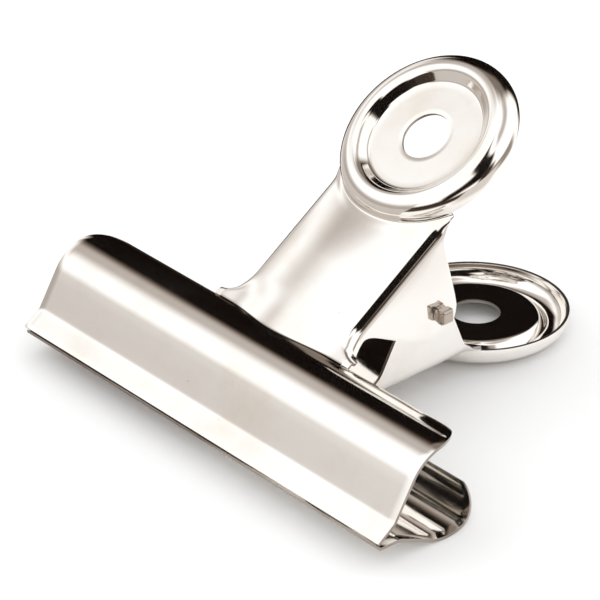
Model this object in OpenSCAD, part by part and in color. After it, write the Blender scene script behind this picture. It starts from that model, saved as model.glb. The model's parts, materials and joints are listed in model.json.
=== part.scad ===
// Round-head bulldog clip: two stamped steel plates on a pivot pin, sprung shut.
// The plates are described in the clip's own frame: the pivot axis is X, +Z runs from
// the lips to the round handles and each plate stands on its own side of the plane y = 0.
// The clip is then laid down on the back of its rear plate, the way it rests on a table.

/* [Sheet] */
// Thickness of the plated steel sheet
sheet = 0.45; // [0.4:0.05:0.5]

/* [Jaws] */
// Length of the jaws along X
jaw_length = 76; // [60:1:90]
// Outer radius of the round back of a jaw
bulge_r = 7.3; // [7.1:0.1:7.5]
// Distance from the pivot axis to the centre of the round back
bulge_drop = 22.3; // [22:0.1:22.6]
// Distance from the pivot axis to the crease above the lip
crease_drop = 31.7; // [31.4:0.1:32]
// Height of the flat lip below the crease
lip_height = 3.2; // [2.5:0.1:3.6]
// Lean of the lip away from the other jaw, in degrees
lip_lean = 18; // [16:1:18]
// Radius of the trimmed corners at the ends of a jaw
jaw_corner_r = 5; // [2:0.5:5.5]

/* [Neck] */
// Width of the front plate across its ears
neck_width = 22.5; // [22:0.1:23.5]
// Lean of the neck away from the middle plane, in degrees
neck_lean = 16.4; // [16:0.1:17]
// Distance from the middle plane to the neck, level with the pivot axis
neck_reach = 10.15; // [10:0.05:10.3]
// Outer radius of the bend between neck and ear
bend_r = 1.9; // [1.5:0.1:2.1]
// Height of the crown across the neck
neck_crown = 1.5; // [1:0.1:1.7]
// Radius where the neck runs out into the jaw
neck_fillet = 5; // [3:0.5:6]

/* [Ears] */
// Radius of the ear tip round the pivot pin
ear_tip_r = 4.4; // [4:0.1:4.8]
// Distance from the pivot axis to the ear's straight back edge
ear_back = 5.8; // [5.4:0.1:6.2]
// Depth of the narrow flange that runs on above and below the ear
flange_depth = 2.2; // [1.9:0.1:2.6]
// Free gap between an outer and an inner ear
ear_gap = 0.3; // [0.2:0.05:0.5]

/* [Round handles] */
// Distance of the handle's centre from the middle plane
disc_reach = 16.93; // [16.7:0.05:17.1]
// Distance of the handle's centre above the pivot axis
disc_height = 15.03; // [14.8:0.05:15.3]
// Tilt of the handle's face towards the jaws, in degrees
disc_tilt = 19.1; // [18:0.1:20]
// Diameter of the hanging hole
hole_d = 7.3; // [5:0.1:9]
// Radius of the crest of the rolled bead
crest_r = 10.84; // [10.7:0.02:11]
// Height of the crest above the flat middle
crest_height = 1.65; // [1.5:0.05:1.8]
// Radius of the outer side of the bead
rim_r = 2.78; // [2.6:0.02:2.9]
// Radius of the inner side of the bead
inner_bead_r = 1.4; // [1.2:0.1:1.5]
// Radius where the bead runs down to the flat middle
foot_r = 0.8; // [0.7:0.05:0.95]

/* [Pivot and spring] */
// Diameter of the pivot pin
pin_d = 2.4; // [2.2:0.1:2.6]
// Radial clearance of the pin in the ears
pin_fit = 0.05; // [0.03:0.01:0.1]
// Height of the pivot above the level where the ears are widest
pivot_rise = 1.3; // [1:0.1:1.6]
// Length of the pin outside each front ear
pin_reach = 2.8; // [2.4:0.1:3.2]
// Width of the squared end of the pin
head_width = 2.1; // [1.9:0.1:2.2]
// Diameter of the spring wire
wire_d = 1.1; // [0.9:0.1:1.2]
// Mean radius of the spring coil
coil_r = 2.3; // [2.2:0.05:2.5]
// Number of turns in the coil
coil_turns = 7; // [5:1:8]

/* [Hidden] */
$fn = 64;

ARC_STEP = 4;
EPS = 0.01;
TRIM = 60;
CROWN_SLOPE = 17;

// A point at an angle on a circle in the plane of a section
function polar(centre, r, angle) = [centre[0] + r * cos(angle), centre[1] + r * sin(angle)];

// Points along an arc from one angle to another
function arc(centre, r, from, to) =
    let (steps = max(2, ceil(abs(to - from) / ARC_STEP)))
    [for (i = [0:steps]) polar(centre, r, from + (to - from) * i / steps)];

function reversed(points) = [for (i = [len(points) - 1:-1:0]) points[i]];

// Jaw section: [distance from the middle plane, height]
BULGE_C = [0.15, -bulge_drop];
BULGE_TOP = 47;
CREASE = [1.65, -crease_drop];
crease_to_bulge = BULGE_C - CREASE;
slope_lean = asin(bulge_r / norm(crease_to_bulge)) + atan2(crease_to_bulge[0], crease_to_bulge[1]);
fold = (slope_lean - lip_lean) / 2;
lip_run = lip_height / cos(lip_lean);
lip_tip = CREASE - lip_run * [sin(lip_lean), cos(lip_lean)];
lip_inner_tip = lip_tip + sheet * [-cos(lip_lean), sin(lip_lean)];
crease_inner = CREASE + sheet / cos(fold) * [-cos(lip_lean + fold), sin(lip_lean + fold)];

// Neck: distance from the middle plane of its outer face at a height
function neck_at(z) = neck_reach + z * tan(neck_lean);
jaw_top = -bulge_drop + bulge_r * sin(BULGE_TOP);
neck_bottom = jaw_top - 0.4;
neck_foot = jaw_top - neck_crown;

// Bead section: [radius, height above the flat middle]
foot_rise = crest_height - inner_bead_r - foot_r;
flat_r = crest_r - sqrt(pow(inner_bead_r + foot_r, 2) - pow(foot_rise, 2));
bead_inner_c = [crest_r, crest_height - inner_bead_r];
bead_outer_c = [crest_r, crest_height - rim_r];
foot_c = [flat_r, foot_r];
bead_meet = atan2(foot_rise, crest_r - flat_r);
RIM_END = -8;
skirt_r = crest_r + rim_r * cos(RIM_END);
skirt_drop = rim_r * sin(-RIM_END) + rim_r - crest_height;

front_half = neck_width / 2;
rear_half = front_half - sheet - ear_gap;
hole_r = hole_d / 2;
pin_r = pin_d / 2;
head_length = 1.3;

// Lying down: the rear plate touches the table with its jaw and with the rim of its handle
rim_centre = [
    disc_reach + crest_r * sin(disc_tilt) - (rim_r - crest_height) * cos(disc_tilt),
    disc_height + crest_r * cos(disc_tilt) + (rim_r - crest_height) * sin(disc_tilt)
];
span = rim_centre - BULGE_C;
lie = atan2(span[0], span[1]) - asin((bulge_r - rim_r) / norm(span));
pivot_height = BULGE_C[0] * cos(lie) + bulge_drop * sin(lie) + bulge_r;
lip_end = lip_tip[0] * sin(lie) - lip_tip[1] * cos(lie);
rim_end = rim_centre[0] * sin(lie) + rim_centre[1] * cos(lie) + rim_r;
pivot_shift = (lip_end - rim_end) / 2;

// From the clip's own frame to the pose on the table, with the origin under its middle
module laid_down() {
    translate([0, pivot_shift, pivot_height])
        rotate([lie - 90, 0, 0])
            children();
}

// Section given as [distance from the middle plane, height], drawn out along X
module along_x(length) {
    rotate([90, 0, 90])
        linear_extrude(height = length, center = true)
            children();
}

module jaw_section() {
    outer = concat([lip_tip, CREASE], arc(BULGE_C, bulge_r, -slope_lean, BULGE_TOP));
    inner = concat([lip_inner_tip, crease_inner], arc(BULGE_C, bulge_r - sheet, -slope_lean, BULGE_TOP));
    polygon(concat(outer, reversed(inner)));
}

// What is trimmed off the upper corner at one end of the jaw
module jaw_corner_waste() {
    top = jaw_top + 0.1;
    difference() {
        translate([jaw_length / 2 - jaw_corner_r, 0, top - jaw_corner_r])
            cube([jaw_corner_r + 1, 3 * bulge_r, jaw_corner_r + 1]);
        translate([jaw_length / 2 - jaw_corner_r, -EPS, top - jaw_corner_r])
            rotate([-90, 0, 0])
                cylinder(r = jaw_corner_r, h = 3 * bulge_r + 2 * EPS);
    }
}

module jaw() {
    difference() {
        along_x(jaw_length) jaw_section();
        jaw_corner_waste();
        mirror([1, 0, 0]) jaw_corner_waste();
    }
}

// Frame of the neck: its outer face is the plane z = 0 and its length runs along Y
module on_neck() {
    translate([0, neck_reach, 0])
        rotate([-90 - neck_lean, 0, 0])
            mirror([0, 1, 0])
                children();
}

// Half width of the crowned part of the neck, where its bends start
function crown_half(half) = half - bend_r * (1 - sin(CROWN_SLOPE));

// One side of the bent section across the neck, from the middle out to the end of the ear
function channel_side(half, inset) =
    let (edge = crown_half(half))
    concat(
        [for (i = [0:8])
            let (x = edge * i / 9, slope = atan(2 * neck_crown * x / pow(edge, 2)))
            [x - inset * sin(slope), neck_crown * (1 - pow(x / edge, 2)) - inset * cos(slope)]],
        arc([half - bend_r, -bend_r * cos(CROWN_SLOPE)], bend_r - inset, 90 - CROWN_SLOPE, 0),
        [[half - inset, -TRIM / 2]]
    );

module channel_section(half) {
    outer = channel_side(half, 0);
    inner = channel_side(half, sheet);
    right = concat(outer, reversed(inner));
    polygon(right);
    mirror([1, 0]) polygon(right);
}

// Side view of the neck with its ear: what is left of the bent sheet after trimming
module ear_outline() {
    tip_c = [0.9, -0.2];
    lower_from = polar(tip_c, ear_tip_r, 225);
    lower_run = lower_from[1] - -10.4;
    difference() {
        polygon(concat(
            [
                [neck_at(neck_foot) + 8, neck_foot],
                [neck_at(disc_height) + 8, disc_height],
                [neck_at(disc_height) - flange_depth, disc_height],
                [neck_at(ear_back) - flange_depth, ear_back]
            ],
            arc(tip_c, ear_tip_r, 95, 225),
            [
                [lower_from[0] + lower_run, -10.4],
                [neck_at(neck_bottom) - 1, neck_bottom],
                [neck_at(neck_foot) - 1, neck_foot]
            ]
        ));
        translate([0, pivot_rise]) circle(r = pin_r + pin_fit);
    }
}

module neck_and_ears(half) {
    difference() {
        intersection() {
            on_neck()
                rotate([90, 0, 0])
                    linear_extrude(height = 2 * TRIM, center = true)
                        channel_section(half);
            along_x(TRIM) ear_outline();
        }
        along_x(TRIM) translate(BULGE_C) circle(r = bulge_r - sheet / 2);
    }
}

// Curved run-out between the side of the neck and the top edge of the jaw
module run_out(half) {
    foot = neck_bottom / cos(neck_lean) - EPS;
    on_neck()
        translate([0, 0, -sheet])
            linear_extrude(height = sheet)
                difference() {
                    translate([half - bend_r, foot]) square([bend_r + neck_fillet, neck_fillet + 0.4]);
                    translate([half + neck_fillet, foot + neck_fillet + 0.4]) circle(r = neck_fillet);
                }
}

// Frame of the round handle: its flat middle is the plane z = 0, facing outwards
module on_disc() {
    translate([0, disc_reach, disc_height])
        rotate([-90 - disc_tilt, 0, 0])
            children();
}

// Path of the bead, from the hole to the rim, moved inwards by inset
function bead_path(inset) = concat(
    [[hole_r, -inset]],
    arc(foot_c, foot_r + inset, -90, bead_meet),
    arc(bead_inner_c, inner_bead_r - inset, 180 + bead_meet, 90),
    arc(bead_outer_c, rim_r - inset, 90 - ARC_STEP, RIM_END)
);

module disc() {
    on_disc()
        rotate_extrude()
            polygon(concat(bead_path(0), reversed(bead_path(sheet))));
}

// The rim drawn on down to the neck
module rim_to_neck(half) {
    intersection() {
        on_disc()
            translate([0, 0, -skirt_drop - 2 * bend_r])
                difference() {
                    cylinder(r = skirt_r, h = 2 * bend_r + sheet);
                    translate([0, 0, -EPS]) cylinder(r = skirt_r - sheet, h = TRIM);
                }
        on_neck()
            translate([-half, -TRIM, -bend_r + sheet])
                cube([2 * half, 2 * TRIM, TRIM]);
        along_x(TRIM)
            translate([0, -TRIM])
                square([TRIM, TRIM + disc_height - crest_r + bend_r]);
    }
}

// The jaw ends where the neck rises out of it
module jaw_under_neck(half) {
    difference() {
        jaw();
        on_neck()
            translate([-crown_half(half), -TRIM, -sheet - bulge_r])
                cube([2 * crown_half(half), TRIM, bulge_r]);
    }
}

// One stamped plate, on the side of +Y
module plate(half) {
    jaw_under_neck(half);
    difference() {
        union() {
            neck_and_ears(half);
            run_out(half);
            mirror([1, 0, 0]) run_out(half);
        }
        on_disc()
            translate([0, 0, -TRIM / 2]) cylinder(r = skirt_r - sheet / 2, h = TRIM);
    }
    rim_to_neck(half);
    disc();
}

module rear_plate() {
    color("silver") laid_down() plate(rear_half);
}

module front_plate() {
    color("gainsboro") laid_down() mirror([0, 1, 0]) plate(front_half);
}

// Squared end of the pin, with its four corners chamfered at the tip
module pin_end() {
    tip_r = head_width / 2 + 0.12;
    translate([front_half + pin_reach - head_length, 0, 0])
        rotate([-lie, 0, 0])
            intersection() {
                translate([0, -head_width / 2, -head_width / 2])
                    cube([head_length, head_width, head_width]);
                rotate([0, 90, 0]) cylinder(r1 = tip_r + head_length, r2 = tip_r, h = head_length);
            }
}

module pivot_pin() {
    shank = 2 * (front_half + pin_reach - head_length + EPS);
    color("darkgray")
        laid_down() translate([0, 0, pivot_rise]) {
            rotate([0, 90, 0]) cylinder(r = pin_r, h = shank, center = true);
            pin_end();
            mirror([1, 0, 0]) pin_end();
        }
}

// Frame of a straight spring leg: its foot on the coil, its length along Z
module on_leg(from) {
    translate([0, coil_r * cos(from), coil_r * sin(from)])
        rotate([from, 0, 0])
            children();
}

// The coil is drawn as closed turns that touch, with a straight leg from each end to a neck
module torsion_spring() {
    wire_r = wire_d / 2;
    pitch = wire_d - 0.08;
    end_turn = pitch * (coil_turns - 1) / 2;
    rest_z = 8;
    leg_z = rest_z - pivot_rise;
    leg_y = neck_at(rest_z) - (sheet + wire_r) / cos(neck_lean) - 0.15;
    leg_reach = norm([leg_y, leg_z]);
    leg_from = atan2(leg_z, leg_y) - acos(coil_r / leg_reach);
    leg_length = sqrt(pow(leg_reach, 2) - pow(coil_r, 2));
    color("dimgray")
        laid_down() translate([0, 0, pivot_rise]) {
            for (i = [0:coil_turns - 1])
                translate([i * pitch - end_turn, 0, 0])
                    rotate([0, 90, 0])
                        rotate_extrude()
                            translate([coil_r, 0]) circle(r = wire_r);
            for (side = [0, 1])
                mirror([0, side, 0])
                    translate([(2 * side - 1) * end_turn, 0, 0])
                        on_leg(leg_from)
                            translate([0, 0, -wire_r]) cylinder(r = wire_r - 0.03, h = leg_length + wire_r);
        }
}

rear_plate();
front_plate();
pivot_pin();
torsion_spring();
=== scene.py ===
"""Looks of the round-head bulldog clip: pressed nickel plates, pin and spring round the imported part.

Shapes are worked out in the clip's own frame, in millimetres: the pivot axis is X, +Z runs from
the lips to the round handles, and every plate stands on its own side of the plane y = 0.
on_table() then lays them down in the row frame, in metres.
"""

import json
import math

import bmesh
import bpy
from mathutils import Matrix, Vector


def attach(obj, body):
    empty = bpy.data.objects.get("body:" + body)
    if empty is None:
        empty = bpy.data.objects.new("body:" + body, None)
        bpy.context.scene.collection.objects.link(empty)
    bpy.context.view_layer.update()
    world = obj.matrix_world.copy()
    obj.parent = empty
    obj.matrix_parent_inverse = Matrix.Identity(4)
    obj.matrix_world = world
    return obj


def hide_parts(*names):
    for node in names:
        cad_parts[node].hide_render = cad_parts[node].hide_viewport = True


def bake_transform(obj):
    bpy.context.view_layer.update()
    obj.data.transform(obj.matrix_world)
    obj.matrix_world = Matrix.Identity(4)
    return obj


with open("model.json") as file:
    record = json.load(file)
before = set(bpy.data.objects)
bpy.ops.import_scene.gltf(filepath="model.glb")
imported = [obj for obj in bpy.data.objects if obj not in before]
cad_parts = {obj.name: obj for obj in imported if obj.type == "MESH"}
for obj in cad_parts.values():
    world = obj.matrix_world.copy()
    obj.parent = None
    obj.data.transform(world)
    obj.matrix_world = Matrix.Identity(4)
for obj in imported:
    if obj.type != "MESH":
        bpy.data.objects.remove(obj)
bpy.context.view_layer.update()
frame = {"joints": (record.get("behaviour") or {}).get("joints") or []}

MM = 0.001

# Sheet and jaws
SHEET = 0.45
JAW_LENGTH = 76.0
BULGE_R = 7.3
BULGE_C = (0.15, -22.3)
BULGE_TOP = 47.0
CREASE = (1.65, -31.7)
LIP_HEIGHT = 3.2
LIP_LEAN = 18.0
JAW_CORNER_R = 5.0

# Neck and ears
FRONT_HALF = 11.25
EAR_GAP = 0.3
NECK_LEAN = 16.4
NECK_REACH = 10.15
BEND_R = 1.9
CROWN = 1.5
CROWN_SLOPE = 17.0
EAR_TIP = (-0.2, 0.5)
EAR_TIP_R = 4.4
EAR_BACK = 5.8
# Share of ear_depth that the drawn sides reach
EAR_SHARE = 0.92
EAR_FLARE = 4.6
FLANGE_DEPTH = 2.4
# Lengths along the neck: where its sides start to run out and how long that takes, where their
# edges turn flat onto the jaw, its foot, where the ears start to fade out, and its top
RUN_OUT = -12.0
RUN_OUT_LENGTH = 4.6
EDGE_TURN = -14.9
NECK_FOOT = -16.6
EAR_FADE = 4.9
NECK_TOP = 8.3

# Round handle
DISC = (16.93, 15.03)
DISC_TILT = 19.1
HOLE_R = 3.65
CREST_R = 10.84
CREST_HEIGHT = 1.65
RIM_R = 2.78
INNER_BEAD_R = 1.4
FOOT_R = 0.8
WALL_SLOPE = 52
RIM_END = -8.0

# Pin and spring. The part's own pin is 0.3 mm longer at each end than the drawn one, its holes
# are 0.02 mm smaller in radius and its wire is 0.03 mm larger in radius
PIVOT_RISE = 1.3
PIN_R = 1.2
PIN_HOLE_R = 1.27
PIN_REACH = 2.5
HEAD_WIDTH = 2.1
HEAD_LENGTH = 1.3
WIRE_R = 0.52
COIL_R = 2.3
COIL_TURNS = 7
COIL_GAP = 1.03
LEG_TOP = 8.0

REAR_HALF = FRONT_HALF - SHEET - EAR_GAP


def rad(a):
    return math.radians(a)


def smooth(t):
    t = min(max(t, 0.0), 1.0)
    return t * t * (3 - 2 * t)


def mix(a, b, t):
    return a + (b - a) * t


def lie_angle():
    """Angle that lays the clip down on its rear jaw and rear handle."""
    rim = (
        DISC[0] + CREST_R * math.sin(rad(DISC_TILT)) - (RIM_R - CREST_HEIGHT) * math.cos(rad(DISC_TILT)),
        DISC[1] + CREST_R * math.cos(rad(DISC_TILT)) + (RIM_R - CREST_HEIGHT) * math.sin(rad(DISC_TILT)),
    )
    span = (rim[0] - BULGE_C[0], rim[1] - BULGE_C[1])
    return math.atan2(span[0], span[1]) - math.asin((BULGE_R - RIM_R) / math.hypot(*span))


LIE = lie_angle()
PIVOT = Vector(frame["joints"][0]["pos_m"])
ORIGIN = PIVOT - Vector((0, math.cos(LIE), math.sin(LIE))) * (PIVOT_RISE * MM)


def on_table(p):
    """A point of the clip's own frame, in mm, laid down in the row frame, in metres."""
    x, y, z = p
    return Vector((
        x * MM,
        (y * math.sin(LIE) + z * math.cos(LIE)) * MM + ORIGIN.y,
        (-y * math.cos(LIE) + z * math.sin(LIE)) * MM + ORIGIN.z,
    ))


# ---------------------------------------------------------------- plate surface

SIN_N, COS_N = math.sin(rad(NECK_LEAN)), math.cos(rad(NECK_LEAN))
SIN_D, COS_D = math.sin(rad(DISC_TILT)), math.cos(rad(DISC_TILT))

# Columns on each side of the middle: across the web, round the bend, down the flange
WEB, BEND, FLANGE = 15, 8, 7
SIDE = WEB + BEND + FLANGE
COLUMNS = range(-SIDE, SIDE + 1)
VALLEY_ROWS = 6
NECK_ROWS = 64
BRIDGE_ROWS = 5
JAW_END_COLUMNS = 18
# How far the rounded valley between neck and jaw reaches: in the middle, and at the neck's
# edges onto the jaw and onto the neck
VALLEY_REACH = 0.45
JAW_EDGE_REACH = 0.12
NECK_EDGE_REACH = 0.1


def slope_lean():
    """Lean of the flat from the crease that touches the bulge, in degrees."""
    dx, dz = BULGE_C[0] - CREASE[0], BULGE_C[1] - CREASE[1]
    return math.degrees(math.asin(BULGE_R / math.hypot(dx, dz)) + math.atan2(dx, dz))


SLOPE_LEAN = slope_lean()


def bulge(theta):
    """A point of the jaw's round back, at an angle in degrees."""
    return (BULGE_C[0] + BULGE_R * math.cos(rad(theta)), BULGE_C[1] + BULGE_R * math.sin(rad(theta)))


def lip_tip():
    """The lip's free edge."""
    run = LIP_HEIGHT / math.cos(rad(LIP_LEAN))
    return (CREASE[0] - run * math.sin(rad(LIP_LEAN)), CREASE[1] - LIP_HEIGHT)


def bezier(p0, p1, p2, p3, t):
    s = 1 - t
    return p0 * (s * s * s) + p1 * (3 * s * s * t) + p2 * (3 * s * t * t) + p3 * (t * t * t)


def jaw_profile(theta_end):
    """Jaw section from the lip's edge to an angle on the bulge: (a, z) points."""
    tip, crease = Vector(lip_tip()), Vector(CREASE)
    start = Vector(bulge(-SLOPE_LEAN))
    up_lip = (crease - tip).normalized()
    up_slope = (start - crease).normalized()
    fold = 0.5
    below, above = crease - up_lip * fold, crease + up_slope * fold
    rows = [tip.lerp(below, i / 4) for i in range(5)]
    rows += [bezier(below, crease, crease, above, t) for t in (0.25, 0.5, 0.75)]
    rows += [above.lerp(start, i / 4) for i in range(4)]
    steps = 36
    for i in range(steps + 1):
        u = i / steps
        # Rows lie closer together towards theta_end
        u = mix(u, math.sin(u * math.pi / 2), 0.6)
        rows.append(Vector(bulge(mix(-SLOPE_LEAN, theta_end, u))))
    return rows


def polar(c, r, angle):
    """The point at a radius and an angle in degrees round c."""
    return (c[0] + r * math.cos(rad(angle)), c[1] + r * math.sin(rad(angle)))


def on_neck(a, z):
    """Length along the neck and depth behind its face of a point (a, z)."""
    return (a - NECK_REACH) * SIN_N + z * COS_N, -((a - NECK_REACH) * COS_N - z * SIN_N)


def ear_depth(t):
    """How far a square side of the neck reaches behind its face, at a length along the neck."""
    tc, wc = on_neck(*EAR_TIP)
    t_low, w_low = on_neck(*polar(EAR_TIP, EAR_TIP_R, 225))
    t_high, w_high = on_neck(*polar(EAR_TIP, EAR_TIP_R, 95))
    t_back, w_back = on_neck(NECK_REACH + EAR_BACK * SIN_N / COS_N - FLANGE_DEPTH - 0.4, EAR_BACK - 0.2)
    fall = (COS_N - SIN_N) / (COS_N + SIN_N)
    corner = t_low - (w_low - FLANGE_DEPTH) * fall
    if t <= corner:
        return FLANGE_DEPTH
    if t <= t_low:
        return mix(FLANGE_DEPTH, w_low, (t - corner) / (t_low - corner))
    if t <= t_high:
        return wc + math.sqrt(max(EAR_TIP_R ** 2 - (t - tc) ** 2, 0.0))
    if t <= t_back:
        return mix(w_high, w_back, (t - t_high) / (t_back - t_high))
    return mix(w_back, 0.0, ((t - t_back) / (NECK_TOP - t_back)) ** 0.6)


def rounded_depth(t):
    """ear_depth, averaged over a short reach except round the tip. This rounds its inner corners."""
    if -6.2 < t < 1.6:
        return ear_depth(t)
    reach = 0.9 if t < 0 else 0.5
    shares = [-1, -0.6, -0.2, 0.2, 0.6, 1]
    return sum(ear_depth(t + reach * share) for share in shares) / len(shares)


def side_shape(tau, half):
    """The neck's side at a length tau: where the crown ends, the bend's first and last slope and
    its radius, the length of the flange past it, and how far the side has run out."""
    low = min(max((RUN_OUT - tau) / RUN_OUT_LENGTH, 0.0), 1.0)
    turn = smooth((EDGE_TURN - tau) / 1.9)
    high = smooth((tau - EAR_FADE) / (NECK_TOP - EAR_FADE))
    outer = half + 1.7 * low ** 2
    first = mix(rad(CROWN_SLOPE), rad(2), smooth(1.3 * low))
    first = mix(first, rad(9), high)
    flare = EAR_FLARE if half == FRONT_HALF else 0.0
    last = mix(rad(90 - flare), rad(6), turn)
    last = mix(last, rad(20), high)
    r = mix(BEND_R, 1.2, low)
    flat = outer - r * (math.sin(last) - math.sin(first))
    bend_depth = r * (math.cos(first) - math.cos(last))
    flange = max((EAR_SHARE * rounded_depth(tau + 0.2) - bend_depth) / math.sin(last), 0.1)
    flange = mix(flange, 0.6, turn)
    flange = mix(flange, 0.12, high)
    return flat, first, last, r, flange, low


def crown_height(t):
    """How far the middle of the neck stands out, at a length along the neck."""
    return mix(1.45, CROWN, smooth((t + 16) / 6)) - 0.5 * smooth((t + 6) / 13)


def neck_point(t, tau, column, half):
    """A point of the neck's outer face. Its side's outline is taken at the length tau."""
    side = -1 if column < 0 else 1
    k = abs(column)
    flat, first, last, r, flange, low = side_shape(tau, half)
    if k <= WEB:
        x = flat * k / WEB
        dome = 1 - (x / flat) ** 2
        bell = max(1 - (x / 10.5) ** 2, 0.0) ** 2
        out = crown_height(t) * mix(dome, bell, smooth(1.3 * low))
    else:
        slope = mix(first, last, min((k - WEB) / BEND, 1.0))
        run = max((k - WEB - BEND) / FLANGE, 0.0) * flange
        x = flat + r * (math.sin(slope) - math.sin(first)) + run * math.cos(last)
        out = -r * (math.cos(first) - math.cos(slope)) - run * math.sin(last)
    return Vector((side * x, NECK_REACH + t * SIN_N + out * COS_N, t * COS_N - out * SIN_N))


def valley_length(column, half):
    """Length along the neck at which a column meets the jaw's round back."""
    low, high = -19.5, -12.0
    for _ in range(30):
        mid = (low + high) / 2
        p = neck_point(mid, max(mid, NECK_FOOT), column, half)
        if math.hypot(p.y - BULGE_C[0], p.z - BULGE_C[1]) > BULGE_R:
            high = mid
        else:
            low = mid
    return high


def disc_point(r, phi, h):
    """A point of the handle: radius, angle from its lower side, height over its flat middle."""
    q = -r * math.cos(phi)
    return Vector((r * math.sin(phi), DISC[0] + q * SIN_D + h * COS_D, DISC[1] + q * COS_D - h * SIN_D))


def on_disc(p):
    """Radius, angle and height of a point in the handle's frame."""
    q = (p.y - DISC[0]) * SIN_D + (p.z - DISC[1]) * COS_D
    h = (p.y - DISC[0]) * COS_D - (p.z - DISC[1]) * SIN_D
    return math.hypot(p.x, q), math.atan2(p.x, -q), h


def bead_profile(rim_end):
    """Section of the handle from the hole to the rim: (radius, height)."""
    slope = rad(WALL_SLOPE)
    climb = CREST_HEIGHT - (FOOT_R + INNER_BEAD_R) * (1 - math.cos(slope))
    flat_r = CREST_R - (FOOT_R + INNER_BEAD_R) * math.sin(slope) - climb / math.tan(slope)
    points = [(mix(HOLE_R, flat_r, i / 6), 0.0) for i in range(6)]
    for c, r, start, end, steps, skip in (
        ((flat_r, FOOT_R), FOOT_R, -90, WALL_SLOPE - 90, 6, 0),
        ((CREST_R, CREST_HEIGHT - INNER_BEAD_R), INNER_BEAD_R, 90 + WALL_SLOPE, 90, 8, 0),
        ((CREST_R, CREST_HEIGHT - RIM_R), RIM_R, 90, rim_end, 13, 1),
    ):
        points += [polar(c, r, mix(start, end, i / steps)) for i in range(skip, steps + 1)]
    return points


# Radius at which the handle's rim ends, and how far outside it the neck stops
SKIRT_R = CREST_R + RIM_R * math.cos(rad(RIM_END))
RIM_GAP = 0.32


def rim_length(column, half):
    """Length along the neck at which a column comes within RIM_GAP of the handle's rim."""
    low, high = -4.0, 14.0
    for _ in range(34):
        mid = (low + high) / 2
        r, _phi, _h = on_disc(neck_point(mid, NECK_TOP, column, half))
        if r > SKIRT_R + RIM_GAP:
            low = mid
        else:
            high = mid
    return low


class Skin:
    """Collects the grids of quads of one sheet. make_plate welds them where they share points."""

    def __init__(self):
        self.bm = bmesh.new()

    def grid(self, rows):
        verts = [[self.bm.verts.new(p) for p in row] for row in rows]
        for lower, upper in zip(verts, verts[1:]):
            for i in range(len(lower) - 1):
                self.bm.faces.new((lower[i], lower[i + 1], upper[i + 1], upper[i]))


def bridge(first, before_first, last, before_last, rows, pull=0.55):
    """Rows that leave one edge and join another, smoothly at both."""
    made = []
    for i in range(rows + 1):
        row = []
        for p0, b0, p3, b3 in zip(first, before_first, last, before_last):
            reach = (p3 - p0).length * pull
            p1 = p0 + (p0 - b0).normalized() * reach
            p2 = p3 + (p3 - b3).normalized() * reach
            row.append(bezier(p0, p1, p2, p3, i / rows))
        made.append(row)
    return made


def jaw_rows(half):
    """Columns of the jaw under the neck, and the jaw's end past the neck on the side of +X."""
    middle = []
    for c in COLUMNS:
        t = valley_length(c, half)
        p = neck_point(t, max(t, NECK_FOOT), c, half)
        theta = math.degrees(math.atan2(p.z - BULGE_C[1], p.y - BULGE_C[0]))
        spread = smooth((abs(c) - WEB) / (SIDE - WEB))
        theta -= math.degrees(mix(VALLEY_REACH, JAW_EDGE_REACH, spread) / BULGE_R)
        middle.append([(p.x, q.x, q.y) for q in jaw_profile(theta)])
    edge_x, edge = middle[-1][0][0], jaw_profile(BULGE_TOP)
    shared = [Vector(p) for p in middle[-1]]
    corner_z = edge[-1].y + 0.1 - JAW_CORNER_R
    end = []
    for i, q in enumerate(edge):
        reach = JAW_LENGTH / 2
        if q.y > corner_z:
            reach -= JAW_CORNER_R - math.sqrt(max(JAW_CORNER_R ** 2 - (q.y - corner_z) ** 2, 0.0))
        row = [shared[i]]
        for j in range(1, JAW_END_COLUMNS + 1):
            u = j / JAW_END_COLUMNS
            blend = smooth(min(u * 4, 1.0))
            row.append(Vector((
                mix(edge_x, reach, u),
                mix(shared[i].y, q.x, blend),
                mix(shared[i].z, q.y, blend),
            )))
        end.append(row)
    rows = [[Vector(column[i]) for column in middle] for i in range(len(edge))]
    return rows, end


def neck_rows(half):
    """Rows of the neck from the valley up to the handle's rim."""
    starts, ends = [], []
    for c in COLUMNS:
        spread = smooth((abs(c) - WEB) / (SIDE - WEB))
        starts.append(valley_length(c, half) + mix(VALLEY_REACH, NECK_EDGE_REACH, spread))
        ends.append(rim_length(c, half))
    rows = []
    # Lengths above this are scaled so that each column ends at the rim
    split = -7.0
    for i in range(NECK_ROWS + 1):
        v = i / NECK_ROWS
        row = []
        for c, start, end in zip(COLUMNS, starts, ends):
            tau = mix(start, NECK_TOP, v)
            t = tau
            if tau > split:
                t = mix(split, end, (tau - split) / (NECK_TOP - split))
            row.append(neck_point(t, max(tau, NECK_FOOT), c, half))
        rows.append(row)
    return rows


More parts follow.
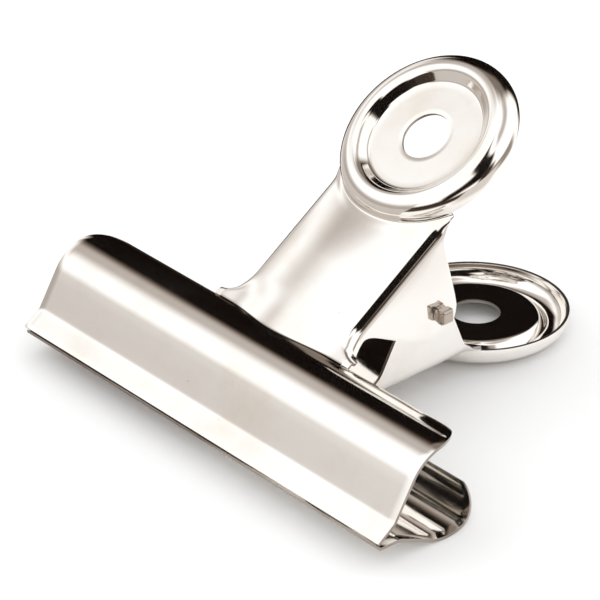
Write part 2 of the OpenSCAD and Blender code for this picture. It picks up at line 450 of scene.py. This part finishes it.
def plate_skin(half):
    """The outer face of one stamped plate on the side of +Y, as grids of quads."""
    skin = Skin()
    middle, end = jaw_rows(half)
    neck = neck_rows(half)
    skin.grid(middle)
    skin.grid(end)
    skin.grid([[Vector((-p.x, p.y, p.z)) for p in reversed(row)] for row in end])
    skin.grid(bridge(middle[-1], middle[-2], neck[0], neck[1], VALLEY_ROWS))
    skin.grid(neck)

    # Round handle: its rim ends higher where the crowned neck meets it
    joint = []
    # Each entry: bearing on the handle, and the angle at which its rim ends there
    for p in neck[-1]:
        _r, phi, h = on_disc(p)
        foot = (h + 0.3 - CREST_HEIGHT + RIM_R) / RIM_R
        joint.append([phi, max(math.degrees(math.asin(min(max(foot, -0.9), 0.9))), RIM_END)])
    for i in range(1, len(joint)):
        joint[i][0] = max(joint[i][0], joint[i - 1][0] + 0.002)
    # Steps round the rest of the rim, which the neck doesn't meet
    free = 88
    first, last = joint[0], joint[-1]
    span = 2 * math.pi - (last[0] - first[0])
    around = list(joint)
    for i in range(1, free):
        fade = smooth(min(i, free - i) / 6)
        around.append([last[0] + span * i / free, mix(last[1], RIM_END, fade)])
    around.append([first[0] + 2 * math.pi, first[1]])
    columns = [[disc_point(r, phi, h) for r, h in bead_profile(rim_end)] for phi, rim_end in around]
    skin.grid([list(row) for row in zip(*columns)])
    rim = [column[-1] for column in columns[:len(joint)]]
    above_rim = [column[-2] for column in columns[:len(joint)]]
    skin.grid(bridge(neck[-1], neck[-2], rim, above_rim, BRIDGE_ROWS))
    return skin


def add_mesh(name, bm, *materials, rounded=True):
    """Turns bm into an object of the scene, smooth shaded if it is rounded."""
    mesh = bpy.data.meshes.new(name)
    bm.to_mesh(mesh)
    bm.free()
    mesh.polygons.foreach_set("use_smooth", [rounded] * len(mesh.polygons))
    for material in materials:
        mesh.materials.append(material)
    o = bpy.data.objects.new(name, mesh)
    bpy.context.scene.collection.objects.link(o)
    return o


def soften_edges(o, width, angle):
    """Bevels the edges that are sharper than an angle in degrees, by a width in mm."""
    bevel = o.modifiers.new("edges", "BEVEL")
    bevel.width = width * MM
    bevel.segments = 2
    bevel.limit_method = "ANGLE"
    bevel.angle_limit = rad(angle)


def punch_tool():
    """A cylinder along the pivot that cuts the pin holes in the ears."""
    bm = bmesh.new()
    r = PIN_HOLE_R * MM
    bmesh.ops.create_cone(bm, cap_ends=True, segments=48, radius1=r, radius2=r, depth=40 * MM)
    o = add_mesh("punch", bm, rounded=False)
    o.matrix_world = Matrix.Translation(on_table((0, 0, PIVOT_RISE))) @ Matrix.Rotation(rad(90), 4, "Y")
    return o


def make_plate(name, half, side, face_material, edge_material):
    """One plate: the skin thickened inwards to sheet, with its pin holes and softened edges."""
    bm = plate_skin(half).bm
    bmesh.ops.remove_doubles(bm, verts=bm.verts, dist=0.003)
    # Faces look outwards, away from the middle plane
    bmesh.ops.recalc_face_normals(bm, faces=bm.faces)
    back = Vector((0, BULGE_C[0] + BULGE_R, BULGE_C[1]))
    probe = min(bm.faces, key=lambda f: (f.calc_center_median() - back).length)
    if probe.normal.y < 0:
        bmesh.ops.reverse_faces(bm, faces=bm.faces)
    for v in bm.verts:
        v.co = on_table((v.co.x, side * v.co.y, v.co.z))
    # Only the mirrored plate is turned round
    if side < 0:
        bmesh.ops.reverse_faces(bm, faces=bm.faces)
    o = add_mesh(name, bm, face_material, edge_material)
    thick = o.modifiers.new("sheet", "SOLIDIFY")
    thick.thickness = SHEET * MM
    thick.offset = -1
    thick.use_even_offset = True
    # The sheet's rim faces get the second material: the cut edges, duller and rougher, and painted darker
    # as painted shade
    thick.material_offset_rim = 1
    punch = punch_tool()
    holes = o.modifiers.new("pin holes", "BOOLEAN")
    holes.operation = "DIFFERENCE"
    holes.solver = "EXACT"
    holes.object = punch
    soften_edges(o, 0.07, 50)
    bpy.context.view_layer.update()
    final = bpy.data.meshes.new_from_object(o.evaluated_get(bpy.context.evaluated_depsgraph_get()))
    o.modifiers.clear()
    o.data = final
    final.name = name
    bpy.data.objects.remove(punch)
    return o


# ---------------------------------------------------------------- pin and spring

def rounded_square(half, corner, step):
    """One of 40 points round a square whose corners are rounded; a circle when corner is half."""
    quarter, part = divmod(step, 10)
    turn = rad(90 * quarter)
    arc = rad(90 * min(part, 6) / 6)
    y = half - corner + corner * math.cos(arc)
    z = half - corner + corner * math.sin(arc)
    if part > 6:
        y = mix(half - corner, corner - half, (part - 6) / 4)
    return y * math.cos(turn) - z * math.sin(turn), y * math.sin(turn) + z * math.cos(turn)


def pin_sections():
    """Sections of one half of the pin along X: (x, half width, corner radius)."""
    end = FRONT_HALF + PIN_REACH
    head = end - HEAD_LENGTH
    half = HEAD_WIDTH / 2
    return [
        (0.0, PIN_R, PIN_R), (head - 0.08, PIN_R, PIN_R), (head, PIN_R - 0.04, PIN_R - 0.1),
        (head + 0.06, half, 0.3), (head + 0.2, half, 0.2), (end - 0.4, half, 0.2),
        (end - 0.32, half - 0.03, 0.2), (end - 0.05, half - 0.22, 0.16), (end, half - 0.28, 0.14),
        (end + 0.01, half - 0.5, 0.1), (end + 0.01, 0.01, 0.01),
    ]


def tube_mesh(name, rings, material, closed_ends=False):
    """A lofted mesh through rings of points, laid down in the row frame."""
    bm = bmesh.new()
    verts = [[bm.verts.new(on_table(p)) for p in ring] for ring in rings]
    count = len(rings[0])
    for lower, upper in zip(verts, verts[1:]):
        for i in range(count):
            bm.faces.new((lower[i], lower[(i + 1) % count], upper[(i + 1) % count], upper[i]))
    if closed_ends:
        bm.faces.new(verts[0])
        bm.faces.new(verts[-1])
    bmesh.ops.remove_doubles(bm, verts=bm.verts, dist=0.001 * MM)
    bmesh.ops.recalc_face_normals(bm, faces=bm.faces)
    return add_mesh(name, bm, material)


def make_pin(material):
    """The pin. Its ends are squared to the row frame, not to the clip's own."""
    half = pin_sections()
    sections = [(-x, w, c) for x, w, c in reversed(half[1:])] + half
    sin_lie, cos_lie = math.sin(LIE), math.cos(LIE)
    rings = []
    for x, w, c in sections:
        ring = []
        for y, z in (rounded_square(w, c, step) for step in range(40)):
            turned = (y * cos_lie + z * sin_lie, z * cos_lie - y * sin_lie + PIVOT_RISE)
            ring.append(Vector((x, *turned)))
        rings.append(ring)
    o = tube_mesh("pin_skin", rings, material)
    soften_edges(o, 0.04, 40)
    return o


def wire_path():
    """Middle line of the spring: rear leg, close coils round the pin, front leg."""
    leg_z = LEG_TOP - PIVOT_RISE
    leg_y = NECK_REACH + LEG_TOP * SIN_N / COS_N - (SHEET + WIRE_R) / COS_N - 0.15
    start = math.atan2(leg_z, leg_y) - math.acos(COIL_R / math.hypot(leg_y, leg_z))
    sweep = 2 * math.pi * COIL_TURNS - (math.pi - 2 * start)
    half_length = WIRE_R * COIL_GAP * sweep / (2 * math.pi)
    steps = 48 * COIL_TURNS
    coil = []
    for i in range(steps + 1):
        angle = start - sweep * i / steps
        x = mix(-half_length, half_length, i / steps)
        coil.append(Vector((x, COIL_R * math.cos(angle), COIL_R * math.sin(angle) + PIVOT_RISE)))
    rear_end = Vector((-half_length, leg_y, LEG_TOP))
    front_end = Vector((half_length, -leg_y, LEG_TOP))
    rear_leg = [rear_end.lerp(coil[0], i / 14) for i in range(14)]
    front_leg = [coil[-1].lerp(front_end, (i + 1) / 14) for i in range(14)]
    return rear_leg + coil + front_leg


def make_spring(material):
    """Round wire along wire_path, a little thinner at its very ends."""
    path = wire_path()
    around = [rad(22.5 * k) for k in range(16)]
    rings = []
    side = Vector((1, 0, 0))
    for i, p in enumerate(path):
        along = (path[min(i + 1, len(path) - 1)] - path[max(i - 1, 0)]).normalized()
        side = (side - along * side.dot(along)).normalized()
        up = along.cross(side)
        r = WIRE_R if 0 < i < len(path) - 1 else WIRE_R * 0.8
        rings.append([p + (side * math.cos(a) + up * math.sin(a)) * r for a in around])
    return tube_mesh("spring_skin", rings, material, closed_ends=True)


# ---------------------------------------------------------------- materials

class Graph:
    """Adds nodes to one node tree and joins them up."""

    def __init__(self, tree):
        self.tree = tree

    def add(self, kind, inputs=None, **settings):
        node = self.tree.nodes.new(kind)
        for key, value in settings.items():
            setattr(node, key, value)
        for key, value in (inputs or {}).items():
            self.feed(node.inputs[key], value)
        return node

    def feed(self, socket, value):
        if isinstance(value, bpy.types.NodeSocket):
            self.tree.links.new(value, socket)
        else:
            socket.default_value = value

    def maths(self, operation, *values):
        node = self.add("ShaderNodeMath", operation=operation)
        for socket, value in zip(node.inputs, values):
            self.feed(socket, value)
        return node.outputs[0]

    def ramp(self, value, low, high, start=0.0, end=1.0):
        """Runs smoothly from start to end as value goes from low to high."""
        node = self.add("ShaderNodeMapRange", interpolation_type="SMOOTHSTEP")
        for socket, number in zip(node.inputs, (value, low, high, start, end)):
            self.feed(socket, number)
        return node.outputs[0]

    def noise(self, coords, scale, detail=3.0, rough=0.5):
        node = self.add("ShaderNodeTexNoise", {"Vector": coords, "Scale": scale, "Detail": detail})
        node.inputs["Roughness"].default_value = rough
        return node.outputs["Fac"]

    def stretched(self, coords, scale):
        node = self.add("ShaderNodeMapping", {"Vector": coords})
        node.inputs["Scale"].default_value = scale
        return node.outputs["Vector"]

    def tint(self, share, first, second):
        node = self.add("ShaderNodeMix", data_type="RGBA")
        self.feed(node.inputs["Factor"], share)
        self.feed(node.inputs["A"], (*first, 1) if isinstance(first, tuple) else first)
        self.feed(node.inputs["B"], (*second, 1) if isinstance(second, tuple) else second)
        return node.outputs["Result"]


def new_material(name):
    """A material, its graph and its shader."""
    m = bpy.data.materials.new(name)
    m.use_nodes = True
    shader = m.node_tree.nodes["Principled BSDF"]
    return m, Graph(m.node_tree), shader


def metal(name, bright, dull, rough, grain):
    """Plated metal with polish lines, small pits, faint stains and an uneven gloss."""
    m, g, shader = new_material(name)
    coords = g.add("ShaderNodeTexCoord").outputs["Object"]
    lines = g.noise(g.stretched(coords, (60, 2600, 2600)), 1.0, 4.0, 0.6)
    ripple = g.noise(coords, 420.0, 3.0)
    stain = g.ramp(g.noise(coords, 90.0, 5.0, 0.6), 0.45, 0.8)
    cells = g.add("ShaderNodeTexVoronoi", {"Vector": coords, "Scale": 260.0})
    cells.inputs["Randomness"].default_value = 1.0
    rare = g.ramp(g.noise(coords, 150.0, 1.0), 0.62, 0.66)
    pit = g.maths("MULTIPLY", g.ramp(cells.outputs["Distance"], 0.03, 0.09, 1.0, 0.0), rare)
    colour = g.tint(stain, bright, dull)
    colour = g.tint(g.maths("MULTIPLY", pit, 0.7), colour, (0.16, 0.12, 0.09))
    g.feed(shader.inputs["Base Color"], colour)
    shader.inputs["Metallic"].default_value = 1.0
    gloss = g.maths("MULTIPLY_ADD", stain, 0.05, rough)
    gloss = g.maths("MULTIPLY_ADD", lines, 0.04, gloss)
    g.feed(shader.inputs["Roughness"], g.maths("MULTIPLY_ADD", pit, 0.4, gloss))
    height = g.maths("MULTIPLY_ADD", ripple, 0.25, g.maths("MULTIPLY", lines, grain))
    height = g.maths("MULTIPLY_ADD", pit, -0.8, height)
    bump = g.add("ShaderNodeBump", {"Height": height})
    bump.inputs["Strength"].default_value = 0.5
    bump.inputs["Distance"].default_value = 0.00002
    g.feed(shader.inputs["Normal"], bump.outputs["Normal"])
    return m


plate_metal = metal("nickel_plate", (0.95, 0.925, 0.89), (0.88, 0.83, 0.76), 0.05, 0.08)
# Cut edges: rougher as a sheared edge is, and painted darker as painted shade, so each plate's edge shows
# as a dark line against the plate behind
cut_edge_with_painted_shade = metal("nickel_cut_edge_painted_shade", (0.42, 0.37, 0.33), (0.24, 0.20, 0.17), 0.3, 0.8)
pin_metal = metal("nickel_pin", (0.5, 0.43, 0.37), (0.24, 0.18, 0.14), 0.22, 0.5)
spring_metal = metal("spring_steel", (0.62, 0.60, 0.57), (0.42, 0.38, 0.34), 0.22, 0.6)

rear = make_plate("rear_plate_skin", REAR_HALF, 1, plate_metal, cut_edge_with_painted_shade)
front = make_plate("front_plate_skin", FRONT_HALF, -1, plate_metal, cut_edge_with_painted_shade)
pin = make_pin(pin_metal)
for piece, body, node, slot in (
    (rear, "rear", "rear_plate", "nickel_plate"),
    (front, "front", "front_plate", "nickel_plate"),
    (pin, "rear", "pivot_pin", "nickel_pin"),
):
    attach(piece, body)
    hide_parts(node)

spring = make_spring(spring_metal)
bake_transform(spring)
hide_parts("torsion_spring")


# ---------------------------------------------------------------- camera, floor, lights

def look():
    """The photograph's camera: bearing, height and roll, the point it looks at, how far away."""
    az, el, roll = rad(49.81), rad(29.648), rad(-1.013)
    aim = Vector((-6.253, -8.338, 12.499)) * MM
    distance = 0.4914
    back = Vector((math.sin(az) * math.cos(el), -math.cos(az) * math.cos(el), math.sin(el)))
    cam = bpy.data.cameras.new("camera")
    cam.lens = 210.226
    cam.sensor_width = 36
    cam.clip_start = 0.01
    o = bpy.data.objects.new("camera", cam)
    turn = back.to_track_quat("Z", "Y").to_matrix().to_4x4() @ Matrix.Rotation(roll, 4, "Z")
    o.matrix_world = Matrix.Translation(aim + back * distance) @ turn
    bpy.context.scene.collection.objects.link(o)
    bpy.context.scene.camera = o


# Dark and grey parts of the studio, as the metal sees them: bearing from +Y towards +X and its
# softness, height above the horizon and its softness, slope of the height, brightness
STUDIO = [
    (-106, -48, 12, 33, 66, 8, 0, 0.42),
    (-76, -5, 12, 36, 72, 9, 0, 0.16),
    (-15, 90, 10, 57, 76, 7, 0, 0.42),
    (-112, -66, 10, -30, 21, 7, 0, 0.5),
    (-72, -40, 6, -30, 6, 6, 0, 0.02),
    (-60, -7, 6, -30, 46, 8, 0, 0.002),
    (-73, -40, 9, 24, 49, 5, 0, 0.002),
    (89, 122, 5, 8, 49, 4, 0, 0.002),
    (110, 152, 6, 3, 32, 7, -0.62, 0.002),
    (140, 185, 6, -30, 7, 4, 0, 0.01),
    (90, 152, 5, 36, 64, 4, 0.65, 0.002),
    (78, 100, 4, -30, 22, 4, 0, 0.02),
    (-185, -100, 8, -30, 17, 9, 0, 0.36),
    (28, 82, 8, -30, 8, 4, 0, 0.22),
]
# The same on the floor: bearing and its softness, distance from the origin in mm past which it
# lies, brightness
FLOOR = [
    (-80, 0, 8, 46, 0.01),
    (-185, -85, 8, 30, 0.5),
    (112, 185, 8, 110, 0.03),
    (25, 80, 8, 150, 0.25),
    (60, 112, 8, 60, 0.62),
]


def between(g, value, low, high, soft):
    """1 where value lies between low and high, with soft edges."""
    rise = g.ramp(value, low - soft, low + soft)
    fall = g.ramp(value, high - soft, high + soft, 1.0, 0.0)
    return g.maths("MULTIPLY", rise, fall)


def shaded(g, shade, mask, brightness):
    """shade, replaced by brightness where mask is 1."""
    kept = g.maths("MULTIPLY", shade, g.maths("SUBTRACT", 1.0, mask))
    return g.maths("MULTIPLY_ADD", mask, brightness, kept)


def warm(g, shade):
    """A grey whose middle tones are warm and whose white and black are plain."""
    node = g.add("ShaderNodeCombineColor")
    for socket, power in zip(node.inputs, (0.9, 1.0, 1.08)):
        g.feed(socket, g.maths("POWER", shade, power))
    return node.outputs[0]


def floor():
    """A pale floor that the metal sees darker in places, as it would in the studio."""
    bpy.ops.mesh.primitive_plane_add(size=8)
    o = bpy.context.object
    o.name = "floor"
    m, g, shader = new_material("floor")
    place = g.add("ShaderNodeSeparateXYZ", {"Vector": g.add("ShaderNodeNewGeometry").outputs["Position"]})
    x, y = place.outputs["X"], place.outputs["Y"]
    bearing = g.maths("DEGREES", g.maths("ARCTAN2", x, y))
    away = g.maths("SQRT", g.maths("ADD", g.maths("MULTIPLY", x, x), g.maths("MULTIPLY", y, y)))
    shade = 1.0
    for low, high, soft, distance, brightness in FLOOR:
        mask = between(g, bearing, low, high, soft)
        mask = g.maths("MULTIPLY", mask, g.ramp(away, distance * 0.7 * MM, distance * 1.3 * MM))
        shade = shaded(g, shade, mask, brightness)
    glossy = g.add("ShaderNodeLightPath").outputs["Is Glossy Ray"]
    colour = g.tint(glossy, (0.9, 0.9, 0.9), warm(g, g.maths("MULTIPLY", shade, 0.9)))
    g.feed(shader.inputs["Base Color"], colour)
    shader.inputs["Roughness"].default_value = 0.8
    shader.inputs["Specular IOR Level"].default_value = 0.0
    o.data.materials.append(m)


def light():
    """An even white studio; only reflections see its dark parts."""
    world = bpy.data.worlds.new("studio")
    world.use_nodes = True
    g = Graph(world.node_tree)
    ray = g.add("ShaderNodeSeparateXYZ", {"Vector": g.add("ShaderNodeTexCoord").outputs["Generated"]})
    bearing = g.maths("DEGREES", g.maths("ARCTAN2", ray.outputs["X"], ray.outputs["Y"]))
    height = g.maths("DEGREES", g.maths("ARCSINE", ray.outputs["Z"]))
    shade = 1.0
    for left, right, soft, low, high, soft_height, slope, brightness in STUDIO:
        middle = (left + right) / 2
        level = g.maths("MULTIPLY_ADD", g.maths("SUBTRACT", bearing, middle), -slope, height)
        across = between(g, bearing, left, right, soft)
        mask = g.maths("MULTIPLY", across, between(g, level, low, high, soft_height))
        shade = shaded(g, shade, mask, brightness)
    glossy = g.add("ShaderNodeLightPath").outputs["Is Glossy Ray"]
    background = world.node_tree.nodes["Background"]
    g.feed(background.inputs["Color"], g.tint(glossy, (1.05, 1.05, 1.05), warm(g, shade)))
    background.inputs["Strength"].default_value = 1.15
    bpy.context.scene.world = world

    softbox = bpy.data.lights.new("softbox", "AREA")
    softbox.size = 0.5
    softbox.energy = 0.3
    o = bpy.data.objects.new("softbox", softbox)
    place = Vector((-0.35, -0.25, 0.6))
    o.matrix_world = Matrix.Translation(place) @ place.to_track_quat("Z", "Y").to_matrix().to_4x4()
    o.visible_glossy = False
    bpy.context.scene.collection.objects.link(o)
    bpy.context.scene.view_settings.view_transform = "Standard"


look()
floor()
light()
